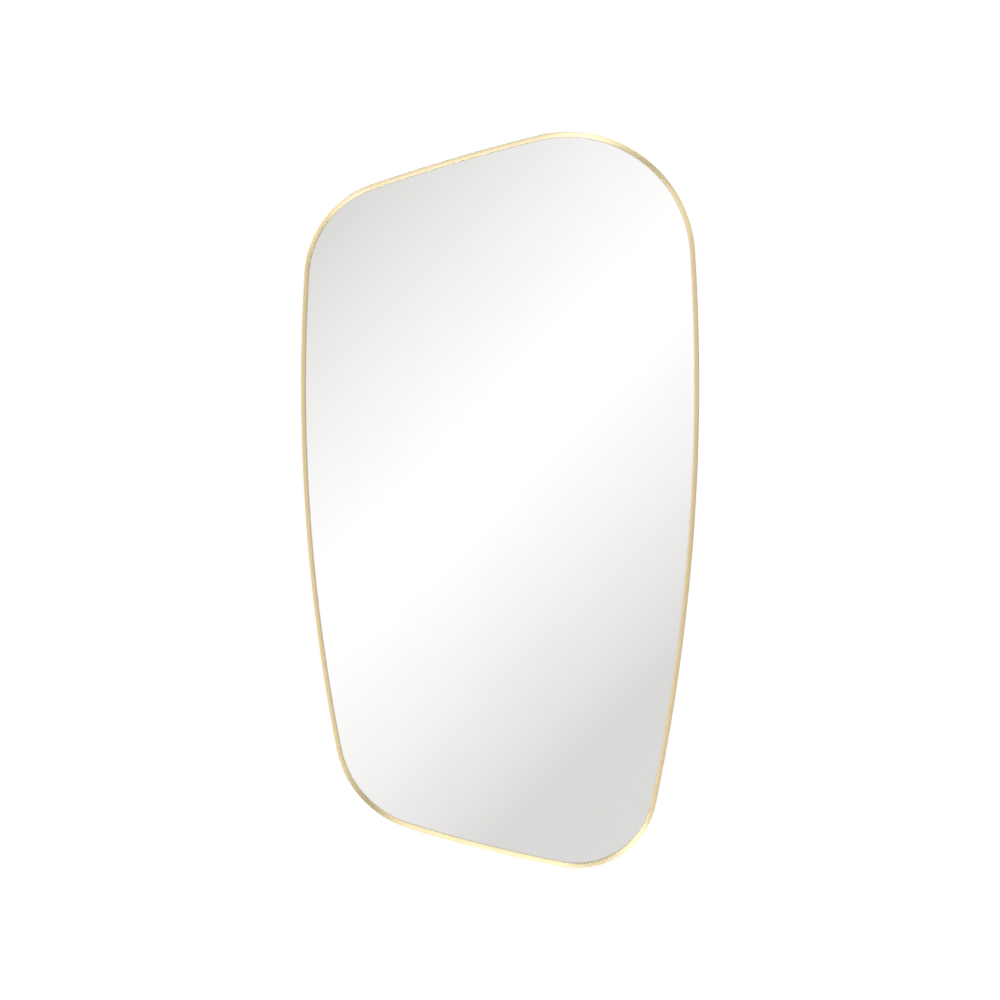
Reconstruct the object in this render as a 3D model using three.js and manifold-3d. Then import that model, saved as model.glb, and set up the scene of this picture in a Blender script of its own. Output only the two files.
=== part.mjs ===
// An irregular shaped wall mirror in a slim gold aluminium frame.
// Millimetres. +X is right and +Z is up for someone in front of the mirror, who looks along +Y.
// The wall is the plane y = 0, and the origin lies on it behind the middle of the outline.

import * as THREE from 'three';
import * as BufferGeometryUtils from 'three/addons/utils/BufferGeometryUtils.js';
import Module from 'manifold-3d';

// Outline: a four-sided figure with bowed sides and round corners.
const topRightX = 245;
const topRightZ = 535;
const topRightRadius = 173;
const topLeftX = -259;
const topLeftZ = 398;
const topLeftRadius = 135.5;
const bottomLeftX = -205;
const bottomLeftZ = -419;
const bottomLeftRadius = 142.5;
const bottomRightX = 188;
const bottomRightZ = -515.5;
const bottomRightRadius = 109;
const topBow = 13; // how far a side's middle stands out from the straight line between its corners
const leftBow = 33;
const bottomBow = 10.5;
const rightBow = 50;
const chordError = 0.15; // how far a facet may cut inside the true curve

// Frame extrusion, seen in section
const faceWidth = 6; // the lip that shows round the glass
const lipThickness = 1.6;
const wallThickness = 1.5;
const edgeRadius = 0.6; // the lip's two front edges
const flangeThickness = 1.3;
const channelWidth = 8.2; // hardware channel, clear width from front flange to rear flange
const channelReach = 9; // from the outer face to the channel's mouth
const returnThickness = 1.3; // the small lips that narrow the channel's mouth
const returnLength = 1.7;
const jointGap = 0.3; // hairline where the two ends of the hoop meet

// The layers in the pocket, front to back
const seat = 0.3; // left between two pieces that touch
const tapeThickness = 0.8;
const tapeWidth = 2.2;
const glassThickness = 5;
const filmThickness = 0.4;
const foamThickness = 1.5;
const foamWidth = 40;
const foamSpacing = 125;
const foamTopZ = 330;
const foamBottomZ = -340;
const boardThickness = 9;
const boardFreePlay = 1.2; // room behind the board, taken up by the clips
const edgeClearance = 1.6; // from the frame's wall to the edge of the glass and of the board

// Setting blocks under the glass
const blockLength = 26;

// Splice across the joint
const spliceLength = 92;
const spliceThickness = 2;
const grubCount = 4;
const grubDiameter = 4;
const grubSink = 0.6; // how far a screw stays below the plate's inner face
const grubPitch = 24;
const grubSocketAcross = 2;
const grubSocketDepth = 1.6;

// Hold-down clips
const clipSheet = 1.2;
const clipWidth = 20;
const clipArm = 17; // how far the arm lies on the board
const clipRun = 1.6; // from the channel's mouth to the joggle
const clipCorner = 4;
const clipBend = 0.5; // inner radius of each fold

// Wood screws with pan heads
const screwDiameter = 3.5;
const screwHeadDiameter = 7;
const screwHeadHeight = 2.2;
const screwHeadRim = 1; // height of the head's upright rim
const screwCrownWidth = 1; // the sloped shoulder of the head, inwards from the rim
const screwCrownDrop = 0.25; // from the top of the head down to the shoulder
const screwPoint = 2.4; // length of the pointed end
const screwCover = 1.4; // board left in front of a screw's point
const screwHoleClearance = 0.3;
const recessDiameter = 2.6;
const recessDepth = 1.2;

// Hanger straps and D rings
const hangerZ = 215;
const hangerSpacing = 240;
const strapSheet = 1.2; // the strap is this sheet folded double round the ring
const strapWidth = 18;
const strapLength = 40;
const strapUpperScrew = 12; // from the ring's axis
const strapLowerScrew = 30;
const ringWire = 3;
const ringInnerWidth = 24;
const ringReach = 20; // from the ring's axis to the middle of the wire at its crown
const ringBendRadius = 3.5;
const eyeClearance = 0.35;

// Wall bumpers
const bumperDiameter = 8;
const bumperFlat = 5.6; // diameter of the face that meets the wall
const bumperHeight = 1.5;
const bumperRim = 0.7; // height of its upright rim

// How finely the small round forms are divided
const turnedSides = 12;
const bumperSides = 16;
const wireSides = 8;
const eyeSegments = 8;
const lipEdgeSegments = 2;
const clipBendSegments = 3;
const tailSegments = 4; // a quarter turn at a clip's or strap's end
const ringBendSegments = 4;
const ringCrownSegments = 14;

// Places from the wall forwards, worked out from the layers
const rimY = -(bumperHeight + seat);
const channelRearY = rimY - flangeThickness;
const channelFrontY = channelRearY - channelWidth;
const pocketRearY = channelFrontY - flangeThickness;
const boardRearY = pocketRearY - boardFreePlay;
const boardFrontY = boardRearY - boardThickness;
const foamRearY = boardFrontY - seat;
const foamFrontY = foamRearY - foamThickness;
const filmRearY = foamFrontY - seat;
const filmFrontY = filmRearY - filmThickness;
const glassRearY = filmFrontY - seat;
const glassFrontY = glassRearY - glassThickness;
const tapeRearY = glassFrontY - seat;
const tapeFrontY = tapeRearY - tapeThickness;
const lipRearY = tapeFrontY - seat;
const frontY = lipRearY - lipThickness;

const returnInner = channelReach - returnThickness; // inside of the return lips, from the outer face
const paneInset = wallThickness + edgeClearance;

// Materials
const goldAluminium = new THREE.MeshStandardMaterial({ color: 0xdcc893, metalness: 1, roughness: 0.34 });
const plainAluminium = new THREE.MeshStandardMaterial({ color: 0xb9bbbd, metalness: 1, roughness: 0.4 });
const silveredGlass = new THREE.MeshStandardMaterial({ color: 0xe9ebea, metalness: 1, roughness: 0.02 });
const greyFilm = new THREE.MeshStandardMaterial({ color: 0x8c9094, metalness: 0, roughness: 0.5 });
const whiteFoam = new THREE.MeshStandardMaterial({ color: 0xdddcd6, metalness: 0, roughness: 0.9 });
const darkBoard = new THREE.MeshStandardMaterial({ color: 0x2b2a29, metalness: 0, roughness: 0.75 });
const zincSteel = new THREE.MeshStandardMaterial({ color: 0xc3c6c8, metalness: 1, roughness: 0.35 });
const blackSteel = new THREE.MeshStandardMaterial({ color: 0x2c2d2f, metalness: 1, roughness: 0.45 });
const darkRubber = new THREE.MeshStandardMaterial({ color: 0x3a3a3b, metalness: 0, roughness: 0.8 });

const wasm = await Module();
wasm.setup();

function toSolid(geometry) {
  const bare = geometry.clone();
  bare.deleteAttribute('normal');
  bare.deleteAttribute('uv');
  const merged = BufferGeometryUtils.mergeVertices(bare, 1e-4);
  return new wasm.Manifold(new wasm.Mesh({
    numProp: 3,
    vertProperties: Float32Array.from(merged.attributes.position.array),
    triVerts: Uint32Array.from(merged.index.array),
  }));
}

function toGeometry(solid) {
  const mesh = solid.getMesh();
  const geometry = new THREE.BufferGeometry();
  geometry.setAttribute('position', new THREE.BufferAttribute(mesh.vertProperties, 3));
  geometry.setIndex(new THREE.BufferAttribute(mesh.triVerts, 1));
  geometry.computeVertexNormals();
  return geometry;
}

// The outline as eight arcs, counter-clockwise as seen from the front
const corners = {
  bottomRight: { at: new THREE.Vector2(bottomRightX, bottomRightZ), radius: bottomRightRadius },
  topRight: { at: new THREE.Vector2(topRightX, topRightZ), radius: topRightRadius },
  topLeft: { at: new THREE.Vector2(topLeftX, topLeftZ), radius: topLeftRadius },
  bottomLeft: { at: new THREE.Vector2(bottomLeftX, bottomLeftZ), radius: bottomLeftRadius },
};

// The circle through two corners whose arc stands out by the bow
function sideCircle(from, to, bow) {
  const chord = to.at.clone().sub(from.at);
  const length = chord.length();
  const radius = (length * length / 4 + bow * bow) / (2 * bow);
  const outward = new THREE.Vector2(chord.y, -chord.x).divideScalar(length);
  const middle = from.at.clone().add(to.at).multiplyScalar(0.5);
  return { centre: middle.addScaledVector(outward, bow - radius), radius };
}

// The corner circle that touches both neighbouring side circles from inside
function cornerCircle(corner, before, after) {
  const reachBefore = before.radius - corner.radius;
  const reachAfter = after.radius - corner.radius;
  const between = after.centre.clone().sub(before.centre);
  const distance = between.length();
  const along = (distance ** 2 + reachBefore ** 2 - reachAfter ** 2) / (2 * distance);
  const across = Math.sqrt(reachBefore ** 2 - along ** 2);
  const unit = between.divideScalar(distance);
  const foot = before.centre.clone().addScaledVector(unit, along);
  const sideways = new THREE.Vector2(-unit.y, unit.x);
  const candidates = [across, -across].map((step) => foot.clone().addScaledVector(sideways, step));
  candidates.sort((a, b) => a.distanceTo(corner.at) - b.distanceTo(corner.at));
  return { centre: candidates[0], radius: corner.radius };
}

const sideCircles = {
  right: sideCircle(corners.bottomRight, corners.topRight, rightBow),
  top: sideCircle(corners.topRight, corners.topLeft, topBow),
  left: sideCircle(corners.topLeft, corners.bottomLeft, leftBow),
  bottom: sideCircle(corners.bottomLeft, corners.bottomRight, bottomBow),
};

const cornerCircles = {
  bottomRight: cornerCircle(corners.bottomRight, sideCircles.bottom, sideCircles.right),
  topRight: cornerCircle(corners.topRight, sideCircles.right, sideCircles.top),
  topLeft: cornerCircle(corners.topLeft, sideCircles.top, sideCircles.left),
  bottomLeft: cornerCircle(corners.bottomLeft, sideCircles.left, sideCircles.bottom),
};

// The angle at which a side's circle hands over to a corner's circle
function tangentAngle(side, corner) {
  return corner.centre.clone().sub(side.centre).angle();
}

function arcBetween(circle, start, end) {
  const turn = (end - start + 4 * Math.PI) % (2 * Math.PI);
  return { ...circle, start, turn, length: circle.radius * turn };
}

function sideArc(name, cornerBefore, cornerAfter) {
  const circle = sideCircles[name];
  const start = tangentAngle(circle, cornerCircles[cornerBefore]);
  const end = tangentAngle(circle, cornerCircles[cornerAfter]);
  return arcBetween(circle, start, end);
}

function cornerArc(name, sideBefore, sideAfter) {
  const circle = cornerCircles[name];
  const start = tangentAngle(sideCircles[sideBefore], circle);
  const end = tangentAngle(sideCircles[sideAfter], circle);
  return arcBetween(circle, start, end);
}

const arcs = {
  bottom: sideArc('bottom', 'bottomLeft', 'bottomRight'),
  bottomRight: cornerArc('bottomRight', 'bottom', 'right'),
  right: sideArc('right', 'bottomRight', 'topRight'),
  topRight: cornerArc('topRight', 'right', 'top'),
  top: sideArc('top', 'topRight', 'topLeft'),
  topLeft: cornerArc('topLeft', 'top', 'left'),
  left: sideArc('left', 'topLeft', 'bottomLeft'),
  bottomLeft: cornerArc('bottomLeft', 'left', 'bottom'),
};

// A station is a point of the outer outline with the direction that points out of it
function stationAt(arc, distance) {
  const angle = arc.start + distance / arc.radius;
  const outward = new THREE.Vector2(Math.cos(angle), Math.sin(angle));
  return { at: arc.centre.clone().addScaledVector(outward, arc.radius), outward };
}

function evenStations(arc, from, to, count) {
  const stations = [];
  for (let i = 0; i <= count; i += 1) {
    stations.push(stationAt(arc, from + (to - from) * i / count));
  }
  return stations;
}

// As many stations as keep the facets within the chord error
function stationsAlong(arc, from, to) {
  const step = 2 * arc.radius * Math.acos(1 - chordError / arc.radius);
  const count = Math.max(2, Math.ceil((to - from) / step));
  return evenStations(arc, from, to, count);
}

// Once round the outline, from the middle of the bottom side and back to it
function wholeOutline(gap) {
  const middle = arcs.bottom.length / 2;
  const stations = stationsAlong(arcs.bottom, middle + gap / 2, arcs.bottom.length);
  for (const name of ['bottomRight', 'right', 'topRight', 'top', 'topLeft', 'left', 'bottomLeft']) {
    stations.push(...stationsAlong(arcs[name], 0, arcs[name].length).slice(1));
  }
  stations.push(...stationsAlong(arcs.bottom, 0, middle - gap / 2).slice(1));
  return stations;
}

const closedOutline = wholeOutline(0).slice(1);

function insetPoint(station, inset) {
  return station.at.clone().addScaledVector(station.outward, -inset);
}

// A section carried along stations. Its points are [inset from the outline, y], counter-clockwise
// with the inset drawn to the right and y upwards.
function sweep(section, stations, closed) {
  const count = section.length;
  const positions = [];
  for (const station of stations) {
    for (const [inset, y] of section) {
      const point = insetPoint(station, inset);
      positions.push(point.x, y, point.y);
    }
  }
  const indices = [];
  const spans = closed ? stations.length : stations.length - 1;
  for (let i = 0; i < spans; i += 1) {
    const here = i * count;
    const next = ((i + 1) % stations.length) * count;
    for (let j = 0; j < count; j += 1) {
      const k = (j + 1) % count;
      indices.push(here + j, next + k, here + k);
      indices.push(here + j, next + j, next + k);
    }
  }
  if (!closed) {
    const flat = section.map(([inset, y]) => new THREE.Vector2(inset, y));
    const last = (stations.length - 1) * count;
    for (const [a, b, c] of THREE.ShapeUtils.triangulateShape(flat, [])) {
      indices.push(a, b, c);
      indices.push(last + a, last + c, last + b);
    }
  }
  const geometry = new THREE.BufferGeometry();
  geometry.setAttribute('position', new THREE.Float32BufferAttribute(positions, 3));
  geometry.setIndex(indices);
  return geometry;
}

// A flat plate in the plane of the mirror, from its front face to its rear face
function plate(shape, plateFrontY, plateRearY, curveSegments) {
  const geometry = new THREE.ExtrudeGeometry(shape, {
    depth: plateRearY - plateFrontY,
    bevelEnabled: false,
    curveSegments,
  });
  geometry.rotateX(Math.PI / 2);
  geometry.translate(0, plateRearY, 0);
  return geometry;
}

function pane(inset, paneFrontY, paneRearY) {
  const shape = new THREE.Shape(closedOutline.map((station) => insetPoint(station, inset)));
  return plate(shape, paneFrontY, paneRearY, 1);
}

// A strip along +X with its far end rounded, for the plan of a clip's arm and a strap's tail
function roundedTail(halfWidth, near, far, radius) {
  const shape = new THREE.Shape();
  shape.moveTo(near, -halfWidth);
  shape.absarc(far - radius, radius - halfWidth, radius, -Math.PI / 2, 0, false);
  shape.absarc(far - radius, halfWidth - radius, radius, 0, Math.PI / 2, false);
  shape.lineTo(near, halfWidth);
  return shape;
}

function hole(radius, length, x, y, z) {
  const cylinder = new THREE.CylinderGeometry(radius, radius, length, turnedSides);
  cylinder.translate(x, y, z);
  return toSolid(cylinder);
}

const mirror = new THREE.Group();

function addPiece(parent, name, geometry, material) {
  const mesh = new THREE.Mesh(geometry, material);
  mesh.name = name;
  parent.add(mesh);
  return mesh;
}

// A group at a place on the frame: its +X points into the mirror and its +Z back along the outline
function placeOnFrame(arc, distance) {
  const station = stationAt(arc, distance);
  const group = new THREE.Group();
  group.position.set(station.at.x, 0, station.at.y);
  group.rotation.y = Math.atan2(station.outward.y, -station.outward.x);
  mirror.add(group);
  return group;
}

// Section points on an arc about a centre, from one angle to another in degrees
function roundedEdge(centreInset, centreY, radius, fromDegrees, toDegrees, steps) {
  const points = [];
  for (let i = 0; i <= steps; i += 1) {
    const angle = THREE.MathUtils.degToRad(fromDegrees + (toDegrees - fromDegrees) * i / steps);
    points.push([centreInset + radius * Math.cos(angle), centreY + radius * Math.sin(angle)]);
  }
  return points;
}

// One length of extrusion with a lip, a pocket and a slotted channel, bent into a hoop
const edgeY = frontY + edgeRadius;
const frameSection = [
  [0, rimY],
  ...roundedEdge(edgeRadius, edgeY, edgeRadius, 180, 270, lipEdgeSegments),
  ...roundedEdge(faceWidth - edgeRadius, edgeY, edgeRadius, 270, 360, lipEdgeSegments),
  [faceWidth, lipRearY],
  [wallThickness, lipRearY],
  [wallThickness, pocketRearY],
  [channelReach, pocketRearY],
  [channelReach, channelFrontY + returnLength],
  [returnInner, channelFrontY + returnLength],
  [returnInner, channelFrontY],
  [wallThickness, channelFrontY],
  [wallThickness, channelRearY],
  [returnInner, channelRearY],
  [returnInner, channelRearY - returnLength],
  [channelReach, channelRearY - returnLength],
  [channelReach, rimY],
];
addPiece(mirror, 'frame_hoop', sweep(frameSection, wholeOutline(jointGap), false), goldAluminium);

// The glass and what is packed behind it
const tapeInset = faceWidth - tapeWidth - seat;
const tapeSection = [
  [tapeInset, tapeRearY],
  [tapeInset, tapeFrontY],
  [tapeInset + tapeWidth, tapeFrontY],
  [tapeInset + tapeWidth, tapeRearY],
];
addPiece(mirror, 'glazing_tape', sweep(tapeSection, closedOutline, true), whiteFoam);
addPiece(mirror, 'mirror_glass', pane(paneInset, glassFrontY, glassRearY), silveredGlass);
addPiece(mirror, 'safety_film', pane(paneInset, filmFrontY, filmRearY), greyFilm);

for (const [name, column] of [['left', -1], ['centre', 0], ['right', 1]]) {
  const strip = new THREE.BoxGeometry(foamWidth, foamThickness, foamTopZ - foamBottomZ);
  const piece = addPiece(mirror, `bonding_foam_${name}`, strip, whiteFoam);
  piece.position.set(column * foamSpacing, (foamFrontY + foamRearY) / 2, (foamTopZ + foamBottomZ) / 2);
}

// Setting blocks between the lower edge of the glass and the frame's wall
const blockSection = [
  [wallThickness + seat, boardRearY],
  [wallThickness + seat, glassFrontY],
  [paneInset - seat, glassFrontY],
  [paneInset - seat, boardRearY],
];
const turnToLowest = arcBetween(arcs.bottomRight, arcs.bottomRight.start, -Math.PI / 2);
const blockPlaces = [
  ['left', arcs.bottomLeft, arcs.bottomLeft.length - blockLength / 2],
  ['right', arcs.bottomRight, turnToLowest.length],
];
for (const [name, arc, middle] of blockPlaces) {
  const stations = stationsAlong(arc, middle - blockLength / 2, middle + blockLength / 2);
  addPiece(mirror, `setting_block_${name}`, sweep(blockSection, stations, false), darkRubber);
}

// Splice plate behind the channel's return lips, jammed by grub screws against the wall
const spliceFar = returnInner - seat;
const spliceNear = spliceFar - spliceThickness;
const jointMiddle = arcs.bottom.length / 2;
const spliceSection = [
  [spliceNear, channelRearY - seat],
  [spliceNear, channelFrontY + seat],
  [spliceFar, channelFrontY + seat],
  [spliceFar, channelRearY - seat],
];
const spliceStart = jointMiddle - spliceLength / 2;
const spliceStations = stationsAlong(arcs.bottom, spliceStart, spliceStart + spliceLength);
let splice = toSolid(sweep(spliceSection, spliceStations, false));

const grubLength = spliceFar - grubSink - wallThickness - seat;
const grubProfile = [
  new THREE.Vector2(0, 0),
  new THREE.Vector2(grubDiameter / 4, 0),
  new THREE.Vector2(grubDiameter / 2, grubDiameter / 4),
  new THREE.Vector2(grubDiameter / 2, grubLength),
  new THREE.Vector2(grubSocketAcross / 2, grubLength),
  new THREE.Vector2(grubSocketAcross / 2, grubLength - grubSocketDepth),
  new THREE.Vector2(0, grubLength - grubSocketDepth),
];
const channelMiddleY = (channelFrontY + channelRearY) / 2;
const tapRadius = grubDiameter / 2 + seat;
for (let i = 0; i < grubCount; i += 1) {
  const place = placeOnFrame(arcs.bottom, jointMiddle + (i - (grubCount - 1) / 2) * grubPitch);
  const turned = new THREE.LatheGeometry(grubProfile, turnedSides);
  const grub = addPiece(place, `splice_grub_screw_${i + 1}`, turned, blackSteel);
  grub.position.set(wallThickness + seat, channelMiddleY, 0);
  grub.rotation.z = -Math.PI / 2;

  const drill = new THREE.CylinderGeometry(tapRadius, tapRadius, channelReach, turnedSides);
  drill.rotateZ(-Math.PI / 2);
  drill.translate(channelReach / 2, channelMiddleY, 0);
  place.updateMatrixWorld(true);
  drill.applyMatrix4(place.matrixWorld);
  splice = splice.subtract(toSolid(drill));
}
addPiece(mirror, 'splice_plate', toGeometry(splice), plainAluminium);

// Pan-head wood screw about +Y, its head's seat at y = 0 and its point towards the front
function screwGeometry(length) {
  const shank = screwDiameter / 2;
  const head = screwHeadDiameter / 2;
  return new THREE.LatheGeometry([
    new THREE.Vector2(0, -length),
    new THREE.Vector2(shank, screwPoint - length),
    new THREE.Vector2(shank, 0),
    new THREE.Vector2(head, 0),
    new THREE.Vector2(head, screwHeadRim),
    new THREE.Vector2(head - screwCrownWidth, screwHeadHeight - screwCrownDrop),
    new THREE.Vector2(recessDiameter / 2, screwHeadHeight),
    new THREE.Vector2(recessDiameter / 4, screwHeadHeight - recessDepth),
    new THREE.Vector2(0, screwHeadHeight - recessDepth),
  ], turnedSides);
}

const pilotHoles = [];
const screwBite = boardThickness - screwCover;
const screwHoleRadius = screwDiameter / 2 + screwHoleClearance;

// A screw through a sheet of the given thickness that lies on the board
function addScrew(name, x, z, sheetThickness) {
  const headY = boardRearY + seat + sheetThickness + seat;
  const screw = addPiece(mirror, name, screwGeometry(headY - boardRearY + screwBite), zincSteel);
  screw.position.set(x, headY, z);
  const depth = screwBite + seat;
  pilotHoles.push(hole(screwHoleRadius, 2 * depth, x, boardRearY, z));
}

// Hold-down clip: a hook behind the rear return lip, a neck through the channel's mouth, and an arm
// that is joggled forwards onto the board
const hookFar = returnInner - seat;
const neckRearY = channelRearY - returnLength - seat;
const armFrontY = boardRearY + seat;
const joggle = channelReach + clipRun;
const armEnd = joggle + clipArm;
const outerBend = clipBend + clipSheet;

function fold(centreInset, centreY, radius, fromDegrees, toDegrees) {
  return roundedEdge(centreInset, centreY, radius, fromDegrees, toDegrees, clipBendSegments);
}

const clipSection = [
  [hookFar, channelRearY - seat],
  [hookFar - clipSheet, channelRearY - seat],
  ...fold(hookFar - clipSheet + outerBend, neckRearY - clipSheet + outerBend, outerBend, 180, 270),
  ...fold(joggle - clipBend, neckRearY - clipSheet - clipBend, clipBend, 90, 0),
  ...fold(joggle + outerBend, armFrontY + outerBend, outerBend, 180, 270),
  [armEnd, armFrontY],
  [armEnd, armFrontY + clipSheet],
  ...fold(joggle + outerBend, armFrontY + outerBend, clipBend, 270, 180),
  ...fold(joggle - clipBend, neckRearY - clipSheet - clipBend, outerBend, 0, 90),
  ...fold(hookFar - clipSheet + outerBend, neckRearY - clipSheet + outerBend, clipBend, 270, 180),
];
const clipScrewInset = joggle + clipSheet + (armEnd - joggle - clipSheet) / 2;

function clipGeometry() {
  const shape = new THREE.Shape(clipSection.map(([inset, y]) => new THREE.Vector2(inset, y)));
  const strip = new THREE.ExtrudeGeometry(shape, { depth: clipWidth, bevelEnabled: false });
  strip.translate(0, 0, -clipWidth / 2);
  const outline = roundedTail(clipWidth / 2, 0, armEnd, clipCorner);
  const plan = plate(outline, boardFrontY, 0, tailSegments);
  const drill = hole(screwHoleRadius, 2 * clipSheet, clipScrewInset, armFrontY + clipSheet / 2, 0);
  return toGeometry(toSolid(strip).intersect(toSolid(plan)).subtract(drill));
}

const clipPlaces = [
  ['right_lower', arcs.right, 0.14],
  ['right_upper', arcs.right, 0.86],
  ['top_right', arcs.top, 0.2],
  ['top_left', arcs.top, 0.8],
  ['left_upper', arcs.left, 0.14],
  ['left_lower', arcs.left, 0.86],
  ['bottom_left', arcs.bottom, 0.08],
  ['bottom_right', arcs.bottom, 0.92],
];
const clipShape = clipGeometry();
for (const [name, arc, share] of clipPlaces) {
  const distance = arc.length * share;
  addPiece(placeOnFrame(arc, distance), `hold_down_clip_${name}`, clipShape, zincSteel);
  const screwAt = insetPoint(stationAt(arc, distance), clipScrewInset);
  addScrew(`clip_screw_${name}`, screwAt.x, screwAt.y, clipSheet);
}

// Centre of gravity of the pane, so that the two hangers share the load evenly
function paneBalanceX() {
  let twiceArea = 0;
  let moment = 0;
  closedOutline.forEach((station, i) => {
    const a = station.at;
    const b = closedOutline[(i + 1) % closedOutline.length].at;
    const cross = a.x * b.y - b.x * a.y;
    twiceArea += cross;
    moment += cross * (a.x + b.x) / 3;
  });
  return moment / twiceArea;
}

// Strap in its own frame: +Y away from the board's face, +Z up, the ring's axis at z = 0
const eyeRadius = ringWire / 2 + eyeClearance;
const eyeOuter = eyeRadius + strapSheet;
const eyeReach = 2 * eyeOuter; // from the board's side of the eye to its outer side
const strapThickness = 2 * strapSheet;

function strapGeometry() {
  const meet = Math.acos((strapThickness - eyeOuter) / eyeOuter); // the rear layer runs into the eye there
  const side = new THREE.Shape();
  side.moveTo(0, -strapLength);
  side.lineTo(strapThickness, -strapLength);
  side.absarc(eyeOuter, 0, eyeOuter, -meet, Math.PI, false);
  const eye = new THREE.Path();
  eye.absarc(eyeOuter, 0, eyeRadius, 0, 2 * Math.PI, false);
  side.holes.push(eye);
  const strip = new THREE.ExtrudeGeometry(side, {
    depth: strapWidth,
    bevelEnabled: false,
    curveSegments: eyeSegments,
  });
  strip.translate(0, 0, -strapWidth / 2);
  const along = [new THREE.Vector3(0, 1, 0), new THREE.Vector3(0, 0, 1), new THREE.Vector3(1, 0, 0)];
  strip.applyMatrix4(new THREE.Matrix4().makeBasis(...along));

  const outline = roundedTail(strapWidth / 2, -eyeReach, strapLength, strapWidth / 2);
  const plan = plate(outline, -eyeReach, 2 * eyeReach, tailSegments);
  plan.rotateY(Math.PI / 2);
  let strap = toSolid(strip).intersect(toSolid(plan));
  for (const below of [strapUpperScrew, strapLowerScrew]) {
    strap = strap.subtract(hole(screwHoleRadius, 2 * strapThickness, 0, strapThickness / 2, -below));
  }
  return toGeometry(strap);
}

// D ring in its own frame: a straight bar on the axis, two legs and a half-round crown above
function ringGeometry() {
  const half = (ringInnerWidth + ringWire) / 2;
  const legX = half - ringBendRadius;
  const lowerRight = arcBetween(
    { centre: new THREE.Vector2(legX, ringBendRadius), radius: ringBendRadius }, -Math.PI / 2, 0);
  const crown = arcBetween({ centre: new THREE.Vector2(0, ringReach - half), radius: half }, 0, Math.PI);
  const lowerLeft = arcBetween(
    { centre: new THREE.Vector2(-legX, ringBendRadius), radius: ringBendRadius }, Math.PI, Math.PI * 1.5);
  const stations = [
    ...evenStations(lowerRight, 0, lowerRight.length, ringBendSegments),
    ...evenStations(crown, 0, crown.length, ringCrownSegments),
    ...evenStations(lowerLeft, 0, lowerLeft.length, ringBendSegments),
  ];
  const wire = [];
  for (let i = 0; i < wireSides; i += 1) {
    const angle = i * 2 * Math.PI / wireSides;
    wire.push([ringWire / 2 * Math.cos(angle), ringWire / 2 * Math.sin(angle)]);
  }
  return sweep(wire, stations, true);
}

// The ring stands up as it hangs on its wall hook, and leans until its crown meets the board
const ringAxisY = boardRearY + seat + eyeOuter;
const ringLean = Math.asin((eyeOuter - ringWire / 2) / ringReach);
const balanceX = paneBalanceX();
for (const [name, side] of [['left', -1], ['right', 1]]) {
  const x = balanceX + side * hangerSpacing / 2;
  const strap = addPiece(mirror, `hanger_strap_${name}`, strapGeometry(), zincSteel);
  strap.position.set(x, boardRearY + seat, hangerZ);
  addScrew(`hanger_screw_${name}_upper`, x, hangerZ - strapUpperScrew, strapThickness);
  addScrew(`hanger_screw_${name}_lower`, x, hangerZ - strapLowerScrew, strapThickness);
  const ring = addPiece(mirror, `hanger_ring_${name}`, ringGeometry(), zincSteel);
  ring.position.set(x, ringAxisY, hangerZ);
  ring.rotation.x = ringLean;
}

// Backing board with blind pilot holes for all the wood screws
let board = toSolid(pane(paneInset, boardFrontY, boardRearY));
for (const pilot of pilotHoles) {
  board = board.subtract(pilot);
}
addPiece(mirror, 'backing_board', toGeometry(board), darkBoard);

// Rubber bumpers on the rear flange at the four corners
const bumperProfile = [
  new THREE.Vector2(0, 0),
  new THREE.Vector2(bumperDiameter / 2, 0),
  new THREE.Vector2(bumperDiameter / 2, bumperRim),
  new THREE.Vector2(bumperFlat / 2, bumperHeight),
  new THREE.Vector2(0, bumperHeight),
];
const bumperPlaces = [
  ['bottom_right', arcs.bottomRight],
  ['top_right', arcs.topRight],
  ['top_left', arcs.topLeft],
  ['bottom_left', arcs.bottomLeft],
];
for (const [name, arc] of bumperPlaces) {
  const turned = new THREE.LatheGeometry(bumperProfile, bumperSides);
  const bumper = addPiece(mirror, `wall_bumper_${name}`, turned, darkRubber);
  const centre = insetPoint(stationAt(arc, arc.length / 2), channelReach / 2);
  bumper.position.set(centre.x, -bumperHeight, centre.y);
}

export default mirror;
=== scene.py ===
# An irregular shaped wall mirror: silvered float glass in a bent hoop of brushed, gold anodised aluminium.
# Metres, +X right and +Z up for someone in front of it, the wall at y = 0, the mirror facing -Y.
import math

import bmesh
import bpy
from mathutils import Matrix, Vector


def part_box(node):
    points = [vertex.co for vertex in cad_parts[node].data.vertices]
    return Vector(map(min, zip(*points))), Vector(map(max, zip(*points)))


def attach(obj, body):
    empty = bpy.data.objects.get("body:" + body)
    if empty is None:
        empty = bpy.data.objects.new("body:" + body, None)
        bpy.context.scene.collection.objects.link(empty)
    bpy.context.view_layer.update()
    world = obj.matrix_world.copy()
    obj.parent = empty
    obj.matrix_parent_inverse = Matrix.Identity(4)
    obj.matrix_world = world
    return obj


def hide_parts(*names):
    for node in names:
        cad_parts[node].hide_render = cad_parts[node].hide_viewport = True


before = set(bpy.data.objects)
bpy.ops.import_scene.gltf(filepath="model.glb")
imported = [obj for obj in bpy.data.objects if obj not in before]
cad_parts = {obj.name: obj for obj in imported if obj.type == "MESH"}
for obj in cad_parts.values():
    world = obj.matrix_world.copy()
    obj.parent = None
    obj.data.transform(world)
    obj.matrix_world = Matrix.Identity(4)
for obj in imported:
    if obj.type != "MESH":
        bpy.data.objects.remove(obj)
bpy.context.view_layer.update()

mm = 0.001  # every size below is in millimetres, and is turned to metres where a mesh is made
drawnGap = 0.3  # between pieces that touch on the real mirror
leastReach = 0.02  # what a tip or the end of a strip keeps, so that no face collapses
creaseAngle = 35  # degrees, from where an edge is shaded sharp
weldDistance = 1e-7  # metres


# Small helpers: colours, nodes and meshes

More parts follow.
